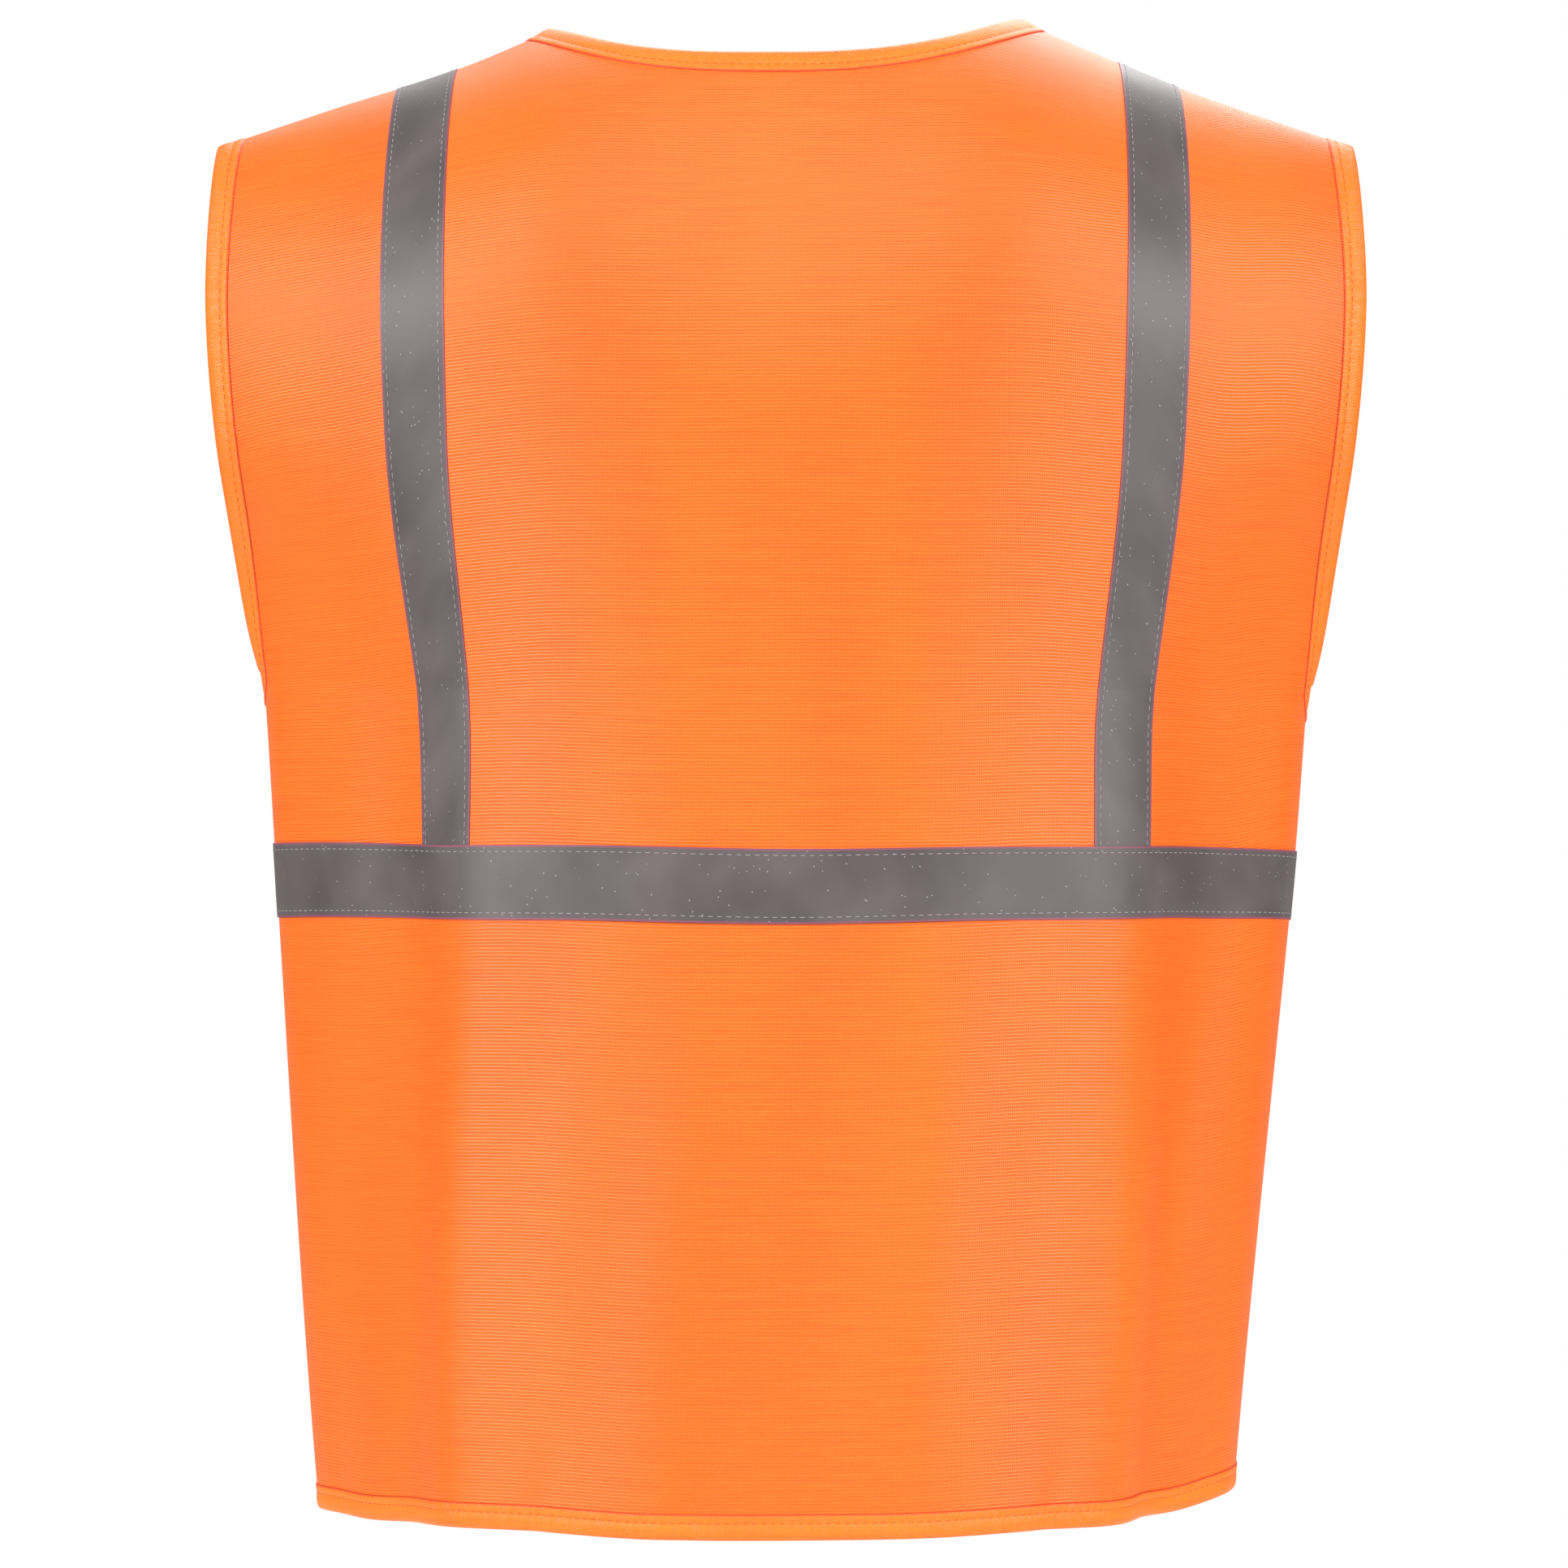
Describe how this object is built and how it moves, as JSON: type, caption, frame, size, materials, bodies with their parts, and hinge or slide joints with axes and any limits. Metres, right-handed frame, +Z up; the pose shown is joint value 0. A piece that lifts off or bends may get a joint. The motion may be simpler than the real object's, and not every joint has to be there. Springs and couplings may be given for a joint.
{
  "type": "high visibility vest",
  "caption": "Sleeveless safety vest in fluorescent orange knit with grey reflective tapes over both shoulders and round the waist, bound edges and a front that folds open.",
  "frame": {"origin": "Midway between the neck ends of the two shoulder seams, level with them, where the wearer's shoulders carry the vest.", "axes": "+Z up, the wearer faces -Y, and +X is the wearer's left."},
  "size_m": [0.5644, 0.3939, 0.7255],
  "materials": {
    "shell_fabric": "fluorescent orange warp-knit polyester with fine crosswise ribs",
    "edge_binding": "folded fluorescent orange polyester binding, ribbed across",
    "reflective_tape": "silver-grey glass-bead retroreflective fabric tape, satin",
    "hook_and_loop": "woven nylon hook-and-loop tape, matt",
    "label_fabric": "plain white satin label ribbon, unprinted"
  },
  "bodies": {
    "vest": {"back_panel": "shell_fabric", "left_front_panel": "shell_fabric", "right_front_panel": "shell_fabric", "left_shoulder_seam": "shell_fabric", "right_shoulder_seam": "shell_fabric", "left_side_seam": "shell_fabric", "right_side_seam": "shell_fabric", "back_waist_tape": "reflective_tape", "left_side_waist_tape": "reflective_tape", "right_side_waist_tape": "reflective_tape", "left_back_brace_tape": "reflective_tape", "right_back_brace_tape": "reflective_tape", "left_front_brace_tape": "reflective_tape", "right_front_brace_tape": "reflective_tape", "neck_binding": "edge_binding", "left_armhole_binding": "edge_binding", "right_armhole_binding": "edge_binding", "hem_binding": "edge_binding"},
    "left_front": {"left_front_flap": "shell_fabric", "left_flap_waist_tape": "reflective_tape", "left_flap_hem_binding": "edge_binding", "left_front_edge_binding": "edge_binding", "hook_strip": "hook_and_loop"},
    "right_front": {"right_front_flap": "shell_fabric", "right_flap_waist_tape": "reflective_tape", "right_flap_hem_binding": "edge_binding", "right_front_edge_binding": "edge_binding", "loop_strip": "hook_and_loop"},
    "neck_label": {"size_label": "label_fabric"},
    "side_label": {"care_label": "label_fabric"}
  },
  "joints": [
    {"name": "left_front_open", "type": "hinge", "parent": "vest", "child": "left_front", "pos_m": [0.0903, -0.1548, -0.089], "axis": [-0.056, 0.0268, 0.9981], "range_deg": [0, 150]},
    {"name": "right_front_open", "type": "hinge", "parent": "vest", "child": "right_front", "pos_m": [-0.0903, -0.1548, -0.089], "axis": [-0.056, -0.0268, -0.9981], "range_deg": [0, 75]},
    {"name": "size_label_lift", "type": "hinge", "parent": "vest", "child": "neck_label", "pos_m": [0, 0.10668, -0.029], "axis": [-1, 0, 0], "range_deg": [0, 80]},
    {"name": "care_label_turn", "type": "hinge", "parent": "vest", "child": "side_label", "pos_m": [0.22642, 0, -0.6], "axis": [0, 0, 1], "range_deg": [-35, 35]}
  ],
  "couplings": [
    {"joint": "right_front_open", "follows": "left_front_open", "ratio": 0.5}
  ]
}
